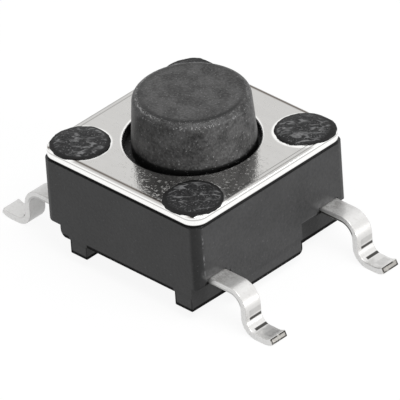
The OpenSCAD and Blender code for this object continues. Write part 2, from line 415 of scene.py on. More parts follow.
@dataclass(frozen=True)
class ButtonResin(Finish):
    """Finely textured moulding of the push button, with painted highlights on its rim and painted shade at its
    top edge and at the plate.
    """

    name: str = "button_resin"
    tone: Triple = (0.018, 0.0177, 0.0175)
    pale: Triple = (0.115, 0.114, 0.114)
    dark: Triple = (0.003, 0.003, 0.003)
    speck: Triple = (0.42, 0.42, 0.42)
    grain_size: float = 0.075
    relief: float = 0.011
    centre: Pair = (0.03, 0.065)
    rim_z: float = 4.9
    rim_radius: float = 1.57
    ring_radius: float = 1.46
    mouth_height: float = 0.07

    def mix(self, recipe: Recipe) -> None:
        """Fills the graph."""
        x, y, z = recipe.place()
        x, y, rise = x - self.centre[0], y - self.centre[1], z - self.rim_z
        radius = x.hypot(y)
        fine = recipe.grain(self.grain_size, 2.0, harshness=0.6)
        clouds = recipe.grain(0.5, 3.0, drift=3.0)
        colour = recipe.blend(fine.step(0.32, 0.72) * 0.5 + clouds.step(0.36, 0.64) * 0.42, self.tone, self.pale)
        front, left = (x - y).step(0.0, 1.6), (x + y).step(-0.9, -1.7)
        flat = rise.step(-0.02, 0.03)
        # Painted shade: a dark ring near the edge of the top, strongest towards +X and -Y, and a dark band just
        # above the cover plate
        ring = radius.band(self.ring_radius, 0.14) * flat * (0.3 + front * 0.6)
        mouth = z.step(PLATE_TOP_Z + self.mouth_height, PLATE_TOP_Z)
        colour = recipe.blend(ring.most(mouth), colour, self.dark)
        dots = recipe.specks(0.045, 0.56, 0.66, 7.0)
        # Painted highlight: pale specks on the rounded rim towards +X and -Y and round the edge of the top, most
        # towards -X and -Y
        edge_marks = rise.band(-0.07, 0.08) * front * recipe.specks(0.4, 0.4, 0.6, 1.0) * dots
        rim = radius.band(self.rim_radius, 0.09) * flat
        left_rim_glints = rim * left * recipe.specks(0.05, 0.48, 0.6, 3.0) * 0.8
        flecks = recipe.specks(0.055, 0.68, 0.75, 5.0) * 0.45
        bright = (edge_marks.most(left_rim_glints) * 0.8).most(rim * dots * 0.3).most(flecks)
        colour = recipe.blend(bright, colour, self.speck)
        recipe.dress(colour, 0.36 + fine * 0.16, fine, self.relief, specular=0.27)


@dataclass(frozen=True)
class StakedResin(Finish):
    """Plastic that was flattened hot: black and rough, with pale streaks painted as highlights."""

    name: str = "staked_resin"
    tone: Triple = (0.007, 0.007, 0.0075)
    pale: Triple = (0.22, 0.221, 0.224)
    dark: Triple = (0.001, 0.001, 0.001)
    relief: float = 0.03
    smear_bearing: float = -45.0
    edge: Pair = (-0.12, -0.04)

    def mix(self, recipe: Recipe) -> None:
        """Fills the graph."""
        x, y, _ = recipe.place()
        outward = (abs(x) - POST_OFFSET).hypot(abs(y) - POST_OFFSET) - HEAD_RADIUS
        smear = recipe.grain(0.4, 2.5, (0.5, 1.3, 1.0), 0.6, spot=recipe.turned_spot(self.smear_bearing))
        fine = recipe.grain(0.055, 2.0, drift=6.0, harshness=0.6)
        # Painted highlight: the pale streaks and specks stand in for glints on the rough surface
        streak = smear.band(0.5, 0.05) * recipe.specks(0.45, 0.35, 0.65, 8.0) * (0.6 + fine * 0.8)
        haze = fine.step(0.4, 0.75) * 0.2
        pale = streak.most(fine.step(0.6, 0.7) * 0.9).most(haze).least(1.0)
        colour = recipe.blend(pale, self.tone, self.pale)
        colour = recipe.blend(outward.step(*self.edge), colour, self.dark)
        recipe.dress(colour, 0.4 + fine * 0.3, smear * 0.6 + fine * 0.4, self.relief, specular=0.25)


@dataclass(frozen=True)
class PlateSteel(Finish):
    """Rolled stainless sheet: satin face and rolled edges, painted highlights on its sides and in rings round
    its holes.
    """

    name: str = "plate_steel"
    face: Triple = (0.6, 0.592, 0.577)
    bright: Triple = (1.0, 0.995, 0.98)
    line: Triple = (0.1, 0.078, 0.062)
    grey_line: Triple = (0.3, 0.295, 0.285)
    shade: Triple = (0.004, 0.004, 0.004)
    relief: float = 0.004
    post_ring: Pair = (0.11, 0.04)
    hole_ring: Pair = (0.1, 0.04)
    dark_reflection: Pair = (-0.1, 0.07)
    reflected_lines: tuple[Pair, Pair] = ((-0.07, 0.035), (-0.19, 0.035))
    cut_grey: Pair = (-0.1, 0.035)
    under: Pair = (-0.25, -0.28)

    def mix(self, recipe: Recipe) -> None:
        """Fills the graph."""
        x, y, z = recipe.place()
        _, _, up = recipe.facing()
        rolled = recipe.grain(0.35, 3.0, (0.4, 1.4, 1.0), 0.6)
        fine = recipe.grain(0.055, 2.0, drift=2.0, harshness=0.7)
        colour = recipe.blend(rolled.step(0.3, 0.7) * 0.05, self.face, self.bright)
        rise, border = z - PLATE_TOP_Z, abs(x).most(abs(y)) - HALF_SIDE
        from_head = (abs(x) - POST_OFFSET).hypot(abs(y) - POST_OFFSET) - HEAD_RADIUS
        from_hole = x.hypot(y) - HOLE_RADIUS
        # Painted highlight: bright rings round the staked heads and round the centre hole
        ring_glints = from_head.step(*self.post_ring).most(from_hole.step(*self.hole_ring))
        # Painted highlight: the outer sides of the sheet take the bright colour
        sheared = (1 - up.step(0.3, 0.75)) * border.step(-0.6, -0.5)
        colour = recipe.blend(ring_glints.most(sheared), colour, self.bright)
        upper = rise.step(-0.05, -0.01)
        formed = (abs(y) - abs(x)).step(-0.05, 0.05)
        # Painted reflection: two faint grey lines along the rolled edge of the +X and -X sides
        first, second = (border.band(*place) for place in self.reflected_lines)
        colour = recipe.blend(first.most(second) * (1 - formed) * 0.8 * upper, colour, self.grey_line)
        # Painted reflection: a thin dark brownish line along the rolled edge of the +Y and -Y sides
        colour = recipe.blend(border.band(*self.dark_reflection) * formed * 0.95 * upper, colour, self.line)
        # A grey line along the middle of the outer sides
        colour = recipe.blend(rise.band(*self.cut_grey) * sheared * 0.7, colour, self.grey_line)
        colour = recipe.blend(from_hole.step(0.03, 0.0).most(rise.step(*self.under)), colour, self.shade)
        pits = recipe.grain(0.09, 2.0, drift=6.0, harshness=0.6).step(0.5, 0.7) * 0.4
        rough = 0.035 + rolled * 0.02 + (sheared * 0.2).most(pits)
        recipe.dress(colour, rough, fine * 0.75 + rolled * 0.25, self.relief, metallic=1.0)


@dataclass(frozen=True)
class TerminalPlating(Finish):
    """Pale matt plating on formed sheet, with dark stripes at the bends and a bare sheared tip."""

    name: str = "terminal_plating"
    face: Triple = (0.77, 0.765, 0.755)
    flank: Triple = (0.92, 0.915, 0.905)
    dull: Triple = (0.5, 0.49, 0.475)
    bare: Triple = (0.02, 0.018, 0.015)
    cut_grey: Triple = (0.32, 0.31, 0.29)
    relief: float = 0.004
    root_x: Pair = (3.8, 3.1)
    stripe_x: float = 4.5
    stripe_z: float = 0.5
    stripe: Pair = (-0.035, 0.03)
    stripe_y: Pair = (-0.15, 0.29)
    descent: Pair = (-0.27, -0.24)
    smudge: Pair = (0.12, 0.24)
    stain_x: Pair = (4.82, 5.0)
    stain_y: Pair = (-0.12, 0.2)
    sole_z: Pair = (0.12, 0.16)
    shoulder: Pair = (3.7, 0.78)
    streak_radii: Pair = (0.38, 0.46)
    tip_x: Pair = (5.144, 5.164)
    core_z: Pair = (0.1585, 0.2185)
    core_half: float = 0.24

    def mix(self, recipe: Recipe) -> None:
        """Fills the graph."""
        x, y, z = recipe.place()
        along, across, up = recipe.facing()
        outward, flank = x.sign() * along, abs(across)
        side = flank.step(0.75, 0.95)
        smear = recipe.grain(0.18, 3.0, (0.7, 1.0, 1.0), 0.65)
        fine = recipe.grain(0.06, 2.0, drift=3.0)
        root = abs(x).step(*self.root_x)
        mottle = smear.step(0.4, 0.66) * (0.12 + root * 0.6) + root * fine.step(0.42, 0.62) * 0.5
        colour = recipe.blend(mottle.least(1.0), self.face, self.dull)
        # Painted light: the flat sides of each terminal take the paler flank colour
        colour = recipe.blend(side * 0.8, colour, self.flank)
        # Painted shade: rounded edges take the dull colour as dark outlines; faces turned outward and random
        # patches are dulled too
        edge_marks = (flank.band(0.55, 0.35) * 0.55, outward.step(0.4, 0.9) * 0.35, fine.step(0.5, 0.75) * 0.25)
        for mask in edge_marks:
            colour = recipe.blend(mask, colour, self.dull)
        marks = self._marks(x, y, z) * up.step(-0.2, 0.0)
        # Faces turned towards the housing are darker: partly unplated metal, partly painted shade
        inner = outward.step(-0.4, -0.9) * 0.12
        colour = recipe.blend(marks.most(inner).most(self._streak(x, y, z) * side), colour, self.bare)
        tilt = math.radians(TOE_ANGLE)
        tip = abs(x).step(*self.tip_x) * (outward * math.cos(tilt) + up * math.sin(tilt)).step(0.8, 0.9)
        core = z.within(*self.core_z) * from_terminal(y).within(-self.core_half, self.core_half)
        colour = recipe.blend(tip, colour, self.cut_grey)
        colour = recipe.blend(tip * (1 - core * 0.85) * smear.step(0.3, 0.5), colour, self.bare)
        recipe.dress(colour, 0.26 + smear * 0.12, fine * 0.5 + smear * 0.5, self.relief, metallic=0.5)

    def _marks(self, x: Signal, y: Signal, z: Signal) -> Signal:
        """Two dark stripes across the heel, a smudge over them and a faint stain on the toe.

        Args:
            x: Place along X.
            y: Place along Y.
            z: Height.

        Returns:
            How dark the marks are, from 0 to 1.
        """
        out, rise, local = abs(x) - self.stripe_x, z - self.stripe_z, from_terminal(y)
        descent, raised = out.step(*self.descent), z.step(*self.sole_z)
        upper = rise.within(*self.stripe) * descent
        lower = out.within(*self.stripe) * raised
        smudge = rise.within(*self.smudge, 0.05) * descent * 0.22
        stripes = (upper.most(lower) * 0.95).most(smudge) * local.within(*self.stripe_y, 0.03)
        stain = abs(x).within(*self.stain_x, 0.06) * local.within(*self.stain_y, 0.06) * x.step(0.0, 0.1)
        return stripes.most(stain * 0.16 * raised)

    def _streak(self, x: Signal, y: Signal, z: Signal) -> Signal:
        """Dark streak inside the shoulder, stronger on the terminals of the +Y half.

        Args:
            x: Place along X.
            y: Place along Y.
            z: Height.

        Returns:
            How dark the streak is, from 0 to 1.
        """
        beyond = (abs(x) - self.shoulder[0]).most(0.0)
        bend = beyond.hypot(z - self.shoulder[1])
        return bend.within(*self.streak_radii) * z.step(0.85, 1.0) * (0.3 + y.step(-0.1, 0.1) * 0.65)


@dataclass(frozen=True)
class SpringSteel(Finish):
    """Thin bright spring sheet of the snap dome."""

    name: str = "spring_steel"
    face: Triple = (0.66, 0.65, 0.62)
    dull: Triple = (0.5, 0.49, 0.46)
    relief: float = 0.001

    def mix(self, recipe: Recipe) -> None:
        """Fills the graph."""
        rolled = recipe.grain(0.4, 3.0, (0.2, 1.5, 1.0))
        colour = recipe.blend(rolled.step(0.3, 0.7), self.face, self.dull)
        recipe.dress(colour, 0.2 + rolled * 0.1, rolled, self.relief, metallic=1.0)


@dataclass(frozen=True)
class StudioFloor(Finish):
    """White table that looks white in the picture and in gloss, and still keeps a faint shadow."""

    name: str = "studio_floor"
    reflectance: float = 0.4
    shadow_share: float = 0.12
    glow: float = 1.03

    def mix(self, recipe: Recipe) -> None:
        """Fills the graph."""
        seen = recipe.seen()
        tint = recipe.blend(seen, (self.reflectance,) * 3, WHITE)
        matt = recipe.node("ShaderNodeBsdfDiffuse", None, {"Color": tint})
        glow = recipe.node("ShaderNodeEmission", None, {"Color": (*WHITE, 1.0), "Strength": self.glow})
        shares = {0: seen * (1 - self.shadow_share), 1: matt, 2: glow}
        recipe.close(recipe.node("ShaderNodeMixShader", None, shares))


def arc(cx: float, cy: float, radius: float, start: float, end: float, steps: int) -> list[Pair]:
    """Points of an arc.

    Args:
        cx: First coordinate of the centre.
        cy: Second coordinate of the centre.
        radius: Radius.
        start: Angle of the first point, in degrees.
        end: Angle of the last point, in degrees.
        steps: Number of chords.

    Returns:
        The points, first to last.
    """
    angles = [math.radians(start + (end - start) * i / steps) for i in range(steps + 1)]
    return [(cx + radius * math.cos(a), cy + radius * math.sin(a)) for a in angles]


def rounded_square(half: float, radius: float, steps: int = 8) -> list[Pair]:
    """Outline of a square with round corners, about the origin.

    Args:
        half: Half its side.
        radius: Radius of its corners.
        steps: Chords of each corner.

    Returns:
        The outline, counter-clockwise.
    """
    inner = half - radius
    corners = ((inner, inner, 0), (-inner, inner, 90), (-inner, -inner, 180), (inner, -inner, 270))
    return [p for cx, cy, a in corners for p in arc(cx, cy, radius, a, a + 90, steps)]


def circle(radius: float, steps: int) -> list[Pair]:
    """Outline of a circle about the origin."""
    return arc(0, 0, radius, 0, 360 * (steps - 1) / steps, steps - 1)


def rectangle(x0: float, y0: float, x1: float, y1: float) -> list[Pair]:
    """Outline of an upright rectangle."""
    return [(x0, y0), (x1, y0), (x1, y1), (x0, y1)]


def put(name: str, data: bpy.types.ID) -> bpy.types.Object:
    """Puts a mesh, a lamp or a camera in the scene as an object."""
    made = bpy.data.objects.new(name, data)
    bpy.context.scene.collection.objects.link(made)
    return made


@contextmanager
def edited(mesh: bpy.types.Mesh) -> Iterator[bmesh.types.BMesh]:
    """Opens a mesh for editing, and writes it back afterwards."""
    shape = bmesh.new()
    shape.from_mesh(mesh)
    yield shape
    shape.to_mesh(mesh)
    shape.free()


class Blank:
    """A solid on the bench, in millimetres, which later becomes a piece of the switch."""

    def __init__(self, mesh: bpy.types.Mesh) -> None:
        """Puts a closed mesh on the bench."""
        self.body = put("blank", mesh)

    @classmethod
    def from_faces(cls, points: list[Triple], faces: list[list[int]]) -> "Blank":
        """Makes a blank from points and faces, with all normals outward."""
        mesh = bpy.data.meshes.new("blank")
        mesh.from_pydata(points, [], faces)
        with edited(mesh) as shape:
            bmesh.ops.recalc_face_normals(shape, faces=shape.faces)
        return cls(mesh)

    @classmethod
    def prism(cls, outline: list[Pair], low: float, high: float, lying: bool = False) -> "Blank":
        """Extrudes an outline.

        Args:
            outline: The outline's points.
            low: Where the prism starts.
            high: Where it ends.
            lying: The outline is in X and Z and runs along Y, and not in X and Y along Z.

        Returns:
            The prism.
        """
        count = len(outline)
        points = [(a, s, b) if lying else (a, b, s) for s in (low, high) for a, b in outline]
        sides = [[i, (i + 1) % count, count + (i + 1) % count, count + i] for i in range(count)]
        return cls.from_faces(points, [list(range(count)), list(range(count, 2 * count)), *sides])

    @classmethod
    def turned(cls, profile: list[Pair], steps: int) -> "Blank":
        """Turns a profile that starts and ends on the Z axis.

        Args:
            profile: Radius and height of each point.
            steps: Chords of the full turn.

        Returns:
            The turned solid.
        """
        rings = profile[1:-1]
        points = [(0.0, 0.0, profile[0][1]), (0.0, 0.0, profile[-1][1])]
        for radius, height in rings:
            for i in range(steps):
                angle = math.tau * i / steps
                points.append((radius * math.cos(angle), radius * math.sin(angle), height))
        faces = []
        for i in range(steps):
            j = (i + 1) % steps
            faces.append([0, 2 + i, 2 + j])
            for ring in range(len(rings) - 1):
                a = 2 + ring * steps
                faces.append([a + i, a + steps + i, a + steps + j, a + j])
            last = 2 + (len(rings) - 1) * steps
            faces.append([last + i, 1, last + j])
        return cls.from_faces(points, faces)

    def _bake(self) -> "Blank":
        """Applies the modifiers that are on the blank."""
        graph = bpy.context.evaluated_depsgraph_get()
        baked = bpy.data.meshes.new_from_object(self.body.evaluated_get(graph), depsgraph=graph)
        self.body.modifiers.clear()
        spent, self.body.data = self.body.data, baked
        bpy.data.meshes.remove(spent)
        return self

    def _combine(self, other: "Blank", operation: str) -> "Blank":
        """Combines this blank with another, which is used up.

        Args:
            other: The other blank.
            operation: UNION, DIFFERENCE or INTERSECT.

        Returns:
            The blank.
        """
        tool = self.body.modifiers.new("tool", "BOOLEAN")
        tool.operation = operation
        tool.solver = "MANIFOLD"
        tool.object = other.body
        self._bake()
        other.scrap()
        return self

    def join(self, *others: "Blank") -> "Blank":
        """Welds other blanks on."""
        for other in others:
            self._combine(other, "UNION")
        return self

    def cut(self, *others: "Blank") -> "Blank":
        """Cuts other blanks away."""
        for other in others:
            self._combine(other, "DIFFERENCE")
        return self

    def trim(self, other: "Blank") -> "Blank":
        """Keeps what is inside another blank."""
        return self._combine(other, "INTERSECT")

    def shift(self, x: float, y: float) -> "Blank":
        """Moves the blank along X and Y."""
        self.body.data.transform(Matrix.Translation((x, y, 0)))
        return self

    def turn(self, angle: float) -> "Blank":
        """Turns the blank about the Z axis, by an angle in degrees."""
        self.body.data.transform(Matrix.Rotation(math.radians(angle), 4, "Z"))
        return self

    def mirrored(self) -> "Blank":
        """A second blank, mirrored from +X to -X."""
        mesh = self.body.data.copy()
        mesh.transform(Matrix.Scale(-1, 4, Vector((1, 0, 0))))
        mesh.flip_normals()
        return Blank(mesh)

    def clean(self) -> "Blank":
        """Welds points that lie together and dissolves needless edges in flat faces."""
        with edited(self.body.data) as shape:
            bmesh.ops.remove_doubles(shape, verts=shape.verts, dist=TOUCH / 2)
            bmesh.ops.dissolve_limit(shape, angle_limit=math.radians(0.5), verts=shape.verts, edges=shape.edges)
        return self

    def round_some(self, chosen: Callable[[bmesh.types.BMEdge], bool], width: float, facets: int) -> "Blank":
        """Rounds the edges that a test chooses.

        Args:
            chosen: The test.
            width: Width of the rounding.
            facets: Facets across it.

        Returns:
            The blank.
        """
        with edited(self.body.data) as shape:
            edges = [edge for edge in shape.edges if chosen(edge)]
            bmesh.ops.bevel(shape, geom=edges, offset=width, segments=facets, profile=0.5, affect="EDGES")
        return self

    def round_all(self, width: float, facets: int, angle: float) -> "Blank":
        """Rounds every edge that turns by more than an angle.

        Args:
            width: Width of the rounding.
            facets: Facets across it.
            angle: Smallest turn that is rounded, in degrees.

        Returns:
            The blank.
        """
        rounding = self.body.modifiers.new("rounding", "BEVEL")
        rounding.width = width
        rounding.segments = facets
        rounding.limit_method = "ANGLE"
        rounding.angle_limit = math.radians(angle)
        rounding.harden_normals = True
        for face in self.body.data.polygons:
            face.use_smooth = True
        return self._bake()

    def smooth(self, angle: float) -> "Blank":
        """Shades smoothly across edges that turn by less than an angle in degrees."""
        with edited(self.body.data) as shape:
            for face in shape.faces:
                face.smooth = True
            for edge in shape.edges:
                edge.smooth = not edge.is_manifold or edge.calc_face_angle(0) < math.radians(angle)
        return self

    def weigh(self) -> "Blank":
        """Keeps large flat faces flat in the shading, beside their rounded edges."""
        self.body.modifiers.new("weighting", "WEIGHTED_NORMAL").keep_sharp = True
        return self._bake()

    def scrap(self) -> None:
        """Takes the blank off the bench."""
        mesh = self.body.data
        bpy.data.objects.remove(self.body)
        bpy.data.meshes.remove(mesh)

    def piece(self, name: str, finish: Finish, body: str, node: str, slot: str) -> bpy.types.Object:
        """Turns the blank into a piece of the switch, in metres.

        Args:
            name: The piece's name.
            finish: Its finish.
            body: The body that it moves with.
            node: The node that it stands for.
            slot: The record's material slot; not used.

        Returns:
            The piece.
        """
        made = self.body
        made.name = made.data.name = name
        made.data.transform(Matrix.Scale(MM, 4))
        made.data.materials.clear()
        made.data.materials.append(finish.material())
        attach(made, body)
        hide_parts(node)
        LOG.info("%s: %d faces, for %s", name, len(made.data.polygons), node)
        return made


@dataclass(frozen=True)
class Datum:
    """Sizes that several sub-assemblies share, in millimetres, measured on the frame."""

    half_side: float
    housing_low: float
    plate_low: float
    plate_high: float
    flange_radius: float
    nub_low: float
    stem_high: float
    dome_radius: float
    dome_low: float
    dome_high: float
    head_reach: float

    @classmethod
    def measure(cls) -> "Datum":
        """Reads the sizes off the boxes of the nodes."""
        base, plate, button, dome = (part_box(n) for n in ("base", "cover_plate", "plunger", "snap_dome"))
        return cls(
            half_side=plate[1].x / MM, housing_low=base[0].z / MM,
            plate_low=plate[0].z / MM, plate_high=plate[1].z / MM,
            flange_radius=button[1].x / MM, nub_low=button[0].z / MM, stem_high=button[1].z / MM,
            dome_radius=dome[1].x / MM, dome_low=dome[0].z / MM, dome_high=dome[1].z / MM,
            head_reach=base[1].y / MM)


class TerminalSide(Enum):
    """Which half of the switch a lead frame serves, by the sign of its strip's place along Y."""

    COMMON = -1
    SWITCHED = 1


@dataclass
class Housing:
    """Moulded block with its recesses, ribs, bosses and chamber, and the reliefs round its terminals."""

    datum: Datum
    corner_radius: float = 0.3
    recess_ceiling_z: float = 1.1
    recess_depths: Pair = (0.35, 0.58)
    lip_radius: float = 0.22
    rib_widths: Pair = (0.67, 0.64)
    rib_ledges: Pair = (0.0, 0.34)
    rib_root: float = 0.1
    foot_radii: Pair = (0.0, 0.25)
    boss_short: float = 1.1
    boss_long: float = 1.75
    boss_corner: float = 0.18
    pocket_width: float = 0.75
    pocket_height: float = 0.27
    pocket_depth: float = 0.2
    pocket_shift: float = -0.05
    pocket_lift: float = 0.03
    chamber_radius: float = 2.2
    gap_height: float = 0.08
    gap_depth: float = 0.06
    neck_height: float = 0.5
    edge: float = 0.04
    sharp_from_z: float = 3.0
    over: float = 0.5
    facets: int = 6
    finish: HousingResin = field(default_factory=HousingResin)

    def _standing(self, side: int) -> Blank:
        """Rib and boss of one face, in one piece.

        Args:
            side: 0 for the +X face, 1 for the -X face.

        Returns:
            The blank, which reaches a little into the block.
        """
        d = self.datum
        wall = d.half_side - self.recess_depths[side] - self.rib_ledges[side]
        inner = wall - self.rib_widths[side]
        low, high, far = d.housing_low, UNDERSIDE_Z + self.rib_root, d.half_side + self.over
        rib = Blank.prism(rectangle(inner, -far, wall, far), low, high)
        corner = self.boss_corner
        boss = Blank.prism(
            arc(-self.boss_short + corner, low + corner, corner, 180, 270, self.facets)
            + arc(self.boss_long - corner, low + corner, corner, 270, 360, self.facets)
            + [(self.boss_long, high), (-self.boss_short, high)], inner, far, lying=True)
        boss.turn(-90)
        return rib.join(boss).turn(180 * side)

    def _recess(self, side: int, end: int) -> Blank:
        """Space under one terminal.

        Args:
            side: 0 for the +X face, 1 for the -X face.
            end: 0 for the narrow recess beside the boss's long side, 1 for the wide one.

        Returns:
            The space to cut away.
        """
        face, lip, foot = self.datum.half_side, self.lip_radius, self.foot_radii[side]
        wall, out = face - self.recess_depths[side], face + self.over
        toe = arc(wall - foot, UNDERSIDE_Z + foot, foot, -90, 0, self.facets) if foot else []
        outline = ([(out, 0.0), (wall - foot, 0.0), *toe, (wall, self.recess_ceiling_z)]
                   + arc(face - lip, self.recess_ceiling_z + lip, lip, -90, 0, self.facets)
                   + [(out, self.recess_ceiling_z + lip)])
        start, stop = ((-out, -self.boss_long), (self.boss_short, out))[end]
        return Blank.prism(outline, start, stop, lying=True).turn(180 * side)

    def _pocket(self, side: int, end: int) -> Blank:
        """Narrow relief round the exit of one terminal, wider on its -Y side.

        Args:
            side: 1 for the +X face, -1 for the -X face.
            end: 1 for the +Y end, -1 for the -Y end.

        Returns:
            The space to cut away.
        """
        d = self.datum
        middle, top = STRIP_Y * end + self.pocket_shift, d.dome_low + self.pocket_lift
        outline = rectangle(d.half_side - self.pocket_depth, middle - self.pocket_width / 2,
                            d.half_side + self.over, middle + self.pocket_width / 2)
        pocket = Blank.prism(outline, top - self.pocket_height, top)
        if side > 0:
            return pocket
        flipped = pocket.mirrored()
        pocket.scrap()
        return flipped

    def _is_outward(self, edge: bmesh.types.BMEdge) -> bool:
        """Whether an edge of the block juts out, under the walls' upper part."""
        return (edge.calc_face_angle_signed(0) > SHARP_TURN
                and max(vert.co.z for vert in edge.verts) < self.sharp_from_z)

    def build(self) -> None:
        """Moulds the block and dresses it."""
        d = self.datum
        outline = rounded_square(d.half_side, self.corner_radius)
        block = Blank.prism(outline, UNDERSIDE_Z, d.plate_low - self.gap_height)
        for side in (0, 1):
            block.join(self._standing(side).trim(Blank.prism(outline, 0.0, self.recess_ceiling_z)))
        block.clean().round_some(self._is_outward, self.edge, 3)
        block.cut(*[self._recess(side, end) for side in (0, 1) for end in (0, 1)])
        block.cut(*[self._pocket(side, end) for side in (1, -1) for end in (1, -1)])
        neck = rounded_square(d.half_side - self.gap_depth, self.corner_radius)
        block.join(Blank.prism(neck, d.plate_low - self.neck_height, d.plate_low))
        block.cut(Blank.prism(circle(self.chamber_radius, 96), d.dome_low, d.plate_low + self.over))
        block.smooth(30).weigh()
        block.piece("housing_block", self.finish, "housing", "base", "housing_plastic")


@dataclass(frozen=True)
class Squash:
    """How one staked head spread under the tool.

    Attributes:
        corner: Signs of its place along X and Y.
        seed: Offset of the noise, so that no two heads are alike.
        lobes: Bearing in degrees and growth in millimetres of each broad bulge or dent.
        spur: Length of the little flash that points away from the switch's centre.
        lobe_width: Half width of a lobe, in radians.
        spur_width: Half width of the spur, in radians.
        spur_bearing: Bearing of the spur, in degrees.
    """

    corner: tuple[int, int]
    seed: float
    lobes: tuple[Pair, ...] = ()
    spur: float = 0.0
    lobe_width: float = 0.7
    spur_width: float = 0.1
    spur_bearing: float = -48.0

    def growth(self, angle: float) -> float:
        """Growth of the outline at a bearing in radians, without the spur."""
        total = 0.0
        for bearing, size in self.lobes:
            apart = math.remainder(angle - math.radians(bearing), math.tau)
            total += size * math.exp(-(apart / self.lobe_width) ** 2)
        return total

    def flash(self, angle: float) -> float:
        """Length of the spur at a bearing in radians."""
        return self.spur * math.exp(-((angle - math.radians(self.spur_bearing)) / self.spur_width) ** 2)


@dataclass
class StakedHeads:
    """Four posts of the housing, flattened over the cover plate by a hot tool."""

    datum: Datum
    post_radius: float = 0.55
    radius: float = HEAD_RADIUS
    rim: float = 0.035
    height: float = 0.1
    wobble: float = 0.04
    wobble_pitch: float = 2.2
    ripple: float = 0.28
    ripple_pitch: Pair = (4, 7)
    grit: float = 0.1
    grit_pitch: float = 17
    skirt: float = 0.05
    rings: int = 16
    steps: int = 120
    finish: StakedResin = field(default_factory=StakedResin)
    heads: tuple[Squash, ...] = (
        Squash((1, -1), 3.7, ((-135, 0.07), (135, 0.06)), 0.1),
        Squash((1, 1), 7.4, ((45, 0.1), (-45, -0.09))),
        Squash((-1, -1), 11.1, ((45, 0.03), (-135, 0.03))),
        Squash((-1, 1), 14.8, ((110, 0.08), (60, 0.06))))

    def _outline(self, angle: float, seed: float) -> float:
        """Wobble of the outline at a bearing in radians, about -1 to 1."""
        around = Vector((math.cos(angle) * self.wobble_pitch, math.sin(angle) * self.wobble_pitch, seed))
        return noise.noise(around) + 0.5 * noise.noise(around * 3.1)

    def _roughness(self, x: float, y: float, seed: float) -> float:
        """Share of the height that ripples and grit take away at a place."""
        across, along = self.ripple_pitch
        ripple = noise.noise(Vector((x * across, y * along, seed + 3)))
        grit = noise.noise(Vector((x * self.grit_pitch, y * self.grit_pitch, seed + 5)))
        return self.ripple * abs(ripple) + self.grit * abs(grit)

    def _spread(self, blank: Blank, squash: Squash) -> None:
        """Spreads a turned head about the Z axis, and roughens it.

        Args:
            blank: The head, as turned.
            squash: How it spreads.
        """
        top, limit = self.datum.plate_high, self.datum.head_reach - POST_OFFSET
        for point in blank.body.data.vertices:
            x, y, z = point.co
            radius, angle = math.hypot(x, y), math.atan2(y, x)
            if z < top - TOUCH or radius < self.post_radius * 0.02:
                continue
            share, flash = (radius / self.radius) ** 3, squash.flash(angle)
            grown = radius * (1 + self.wobble * self._outline(angle, squash.seed) * share)
            grown += (squash.growth(angle) + flash) * share
            raised = min(z - top, self.height) if z > top + 10 * TOUCH else 0.0
            under = z < top + TOUCH and radius > self.post_radius * 1.1
            sunk = self.skirt + 0.7 * flash if under else 0.3 * flash * share
            spread = [max(-limit, min(limit, turn(angle) * grown)) for turn in (math.cos, math.sin)]
            point.co = (*spread, z - raised * self._roughness(x, y, squash.seed) - sunk)

    def build(self) -> None:
        """Stakes the four heads."""
        d = self.datum
        shares = [1 - i / self.rings for i in range(self.rings + 1)]
        crown = [(self.radius * share, d.plate_high + self.rim + (self.height - self.rim) * (1 - share ** 4))
                 for share in shares]
        profile = [(0.0, d.plate_low), (self.post_radius, d.plate_low), (self.post_radius, d.plate_high),
                   (self.radius, d.plate_high), (self.radius + 0.005, d.plate_high + self.rim * 0.5), *crown]
        for number, squash in enumerate(self.heads, 1):
            head = Blank.turned(profile, self.steps)
            self._spread(head, squash)
            head.shift(*(sign * POST_OFFSET for sign in squash.corner)).smooth(50)
            head.piece(f"staked_head_{number}", self.finish, "housing", "base", "housing_plastic")


@dataclass
class CoverPlate:
    """Blanked stainless plate with a centre hole and four post holes."""

    datum: Datum
    corner_radius: float = 0.45
    post_hole_radius: float = 0.58
    roll: float = 0.08
    burr: float = 0.02
    over: float = 0.5
    finish: PlateSteel = field(default_factory=PlateSteel)

    def build(self) -> None:
        """Blanks the plate, rolls its upper edges over, breaks the lower ones and dresses it."""
        d = self.datum
        plate = Blank.prism(rounded_square(d.half_side, self.corner_radius, 12), d.plate_low, d.plate_high)
        low, high = d.plate_low - self.over, d.plate_high + self.over
        plate.cut(Blank.prism(circle(HOLE_RADIUS, 128), low, high))
        for x in (-POST_OFFSET, POST_OFFSET):
            for y in (-POST_OFFSET, POST_OFFSET):
                plate.cut(Blank.prism(circle(self.post_hole_radius, 48), low, high).shift(x, y))
        plate.clean()
        for height, width, facets in ((d.plate_high, self.roll, 4), (d.plate_low, self.burr, 1)):
            plate.round_some(lambda edge: all(abs(vert.co.z - height) < TOUCH for vert in edge.verts)
                             and edge.calc_face_angle(0) > SHARP_TURN, width, facets)
        plate.smooth(40).weigh()
        plate.piece("plate_sheet", self.finish, "housing", "cover_plate", "cover_steel")


